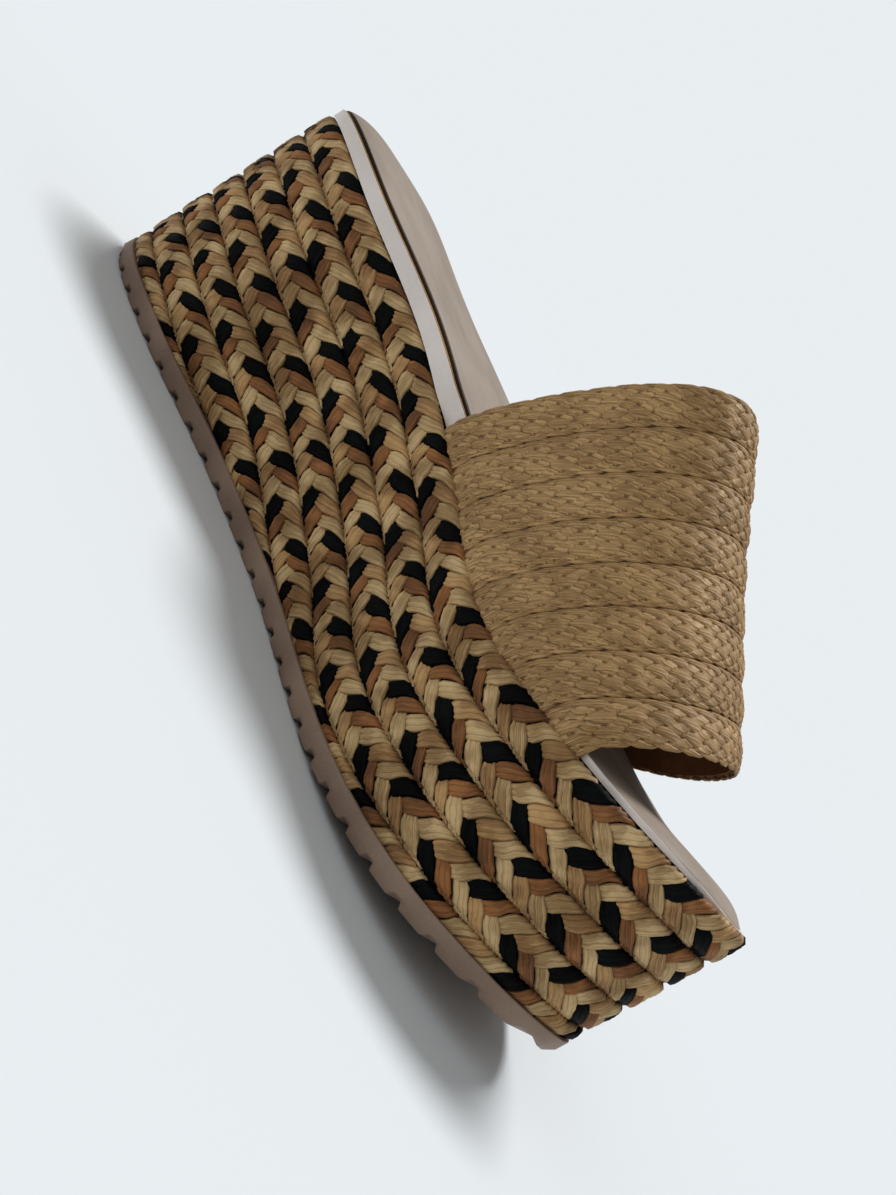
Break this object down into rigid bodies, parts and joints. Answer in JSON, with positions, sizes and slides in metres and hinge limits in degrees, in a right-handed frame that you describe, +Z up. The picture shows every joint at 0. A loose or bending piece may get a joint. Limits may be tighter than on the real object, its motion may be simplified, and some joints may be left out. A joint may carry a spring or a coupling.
{
  "type": "platform slide mule",
  "caption": "Left-foot platform slide mule with a braid-clad platform, ribbed rubber outsole, wrapped footbed and a wide braided band, open at toe and heel.",
  "frame": {"origin": "middle of the footprint on the floor", "axes": "+X from heel to toe, +Y to the outer side of the left foot, +Z up"},
  "size_m": [0.245, 0.0972, 0.1142],
  "materials": {
    "outsole_rubber": "matte mauve-brown moulded rubber, ribbed underneath",
    "platform_braid": "braided straw-coloured jute with black and brown strands",
    "footbed_wrap": "soft matte grey-beige wrapped edge",
    "sock_lining": "soft matte pinkish-beige lining",
    "band_braid": "khaki-tan braided jute with a faint fibre sheen"
  },
  "bodies": {
    "root": {"outsole": "outsole_rubber", "platform": "platform_braid", "footbed": "footbed_wrap", "sock": "sock_lining", "band": "band_braid"}
  },
  "joints": []
}
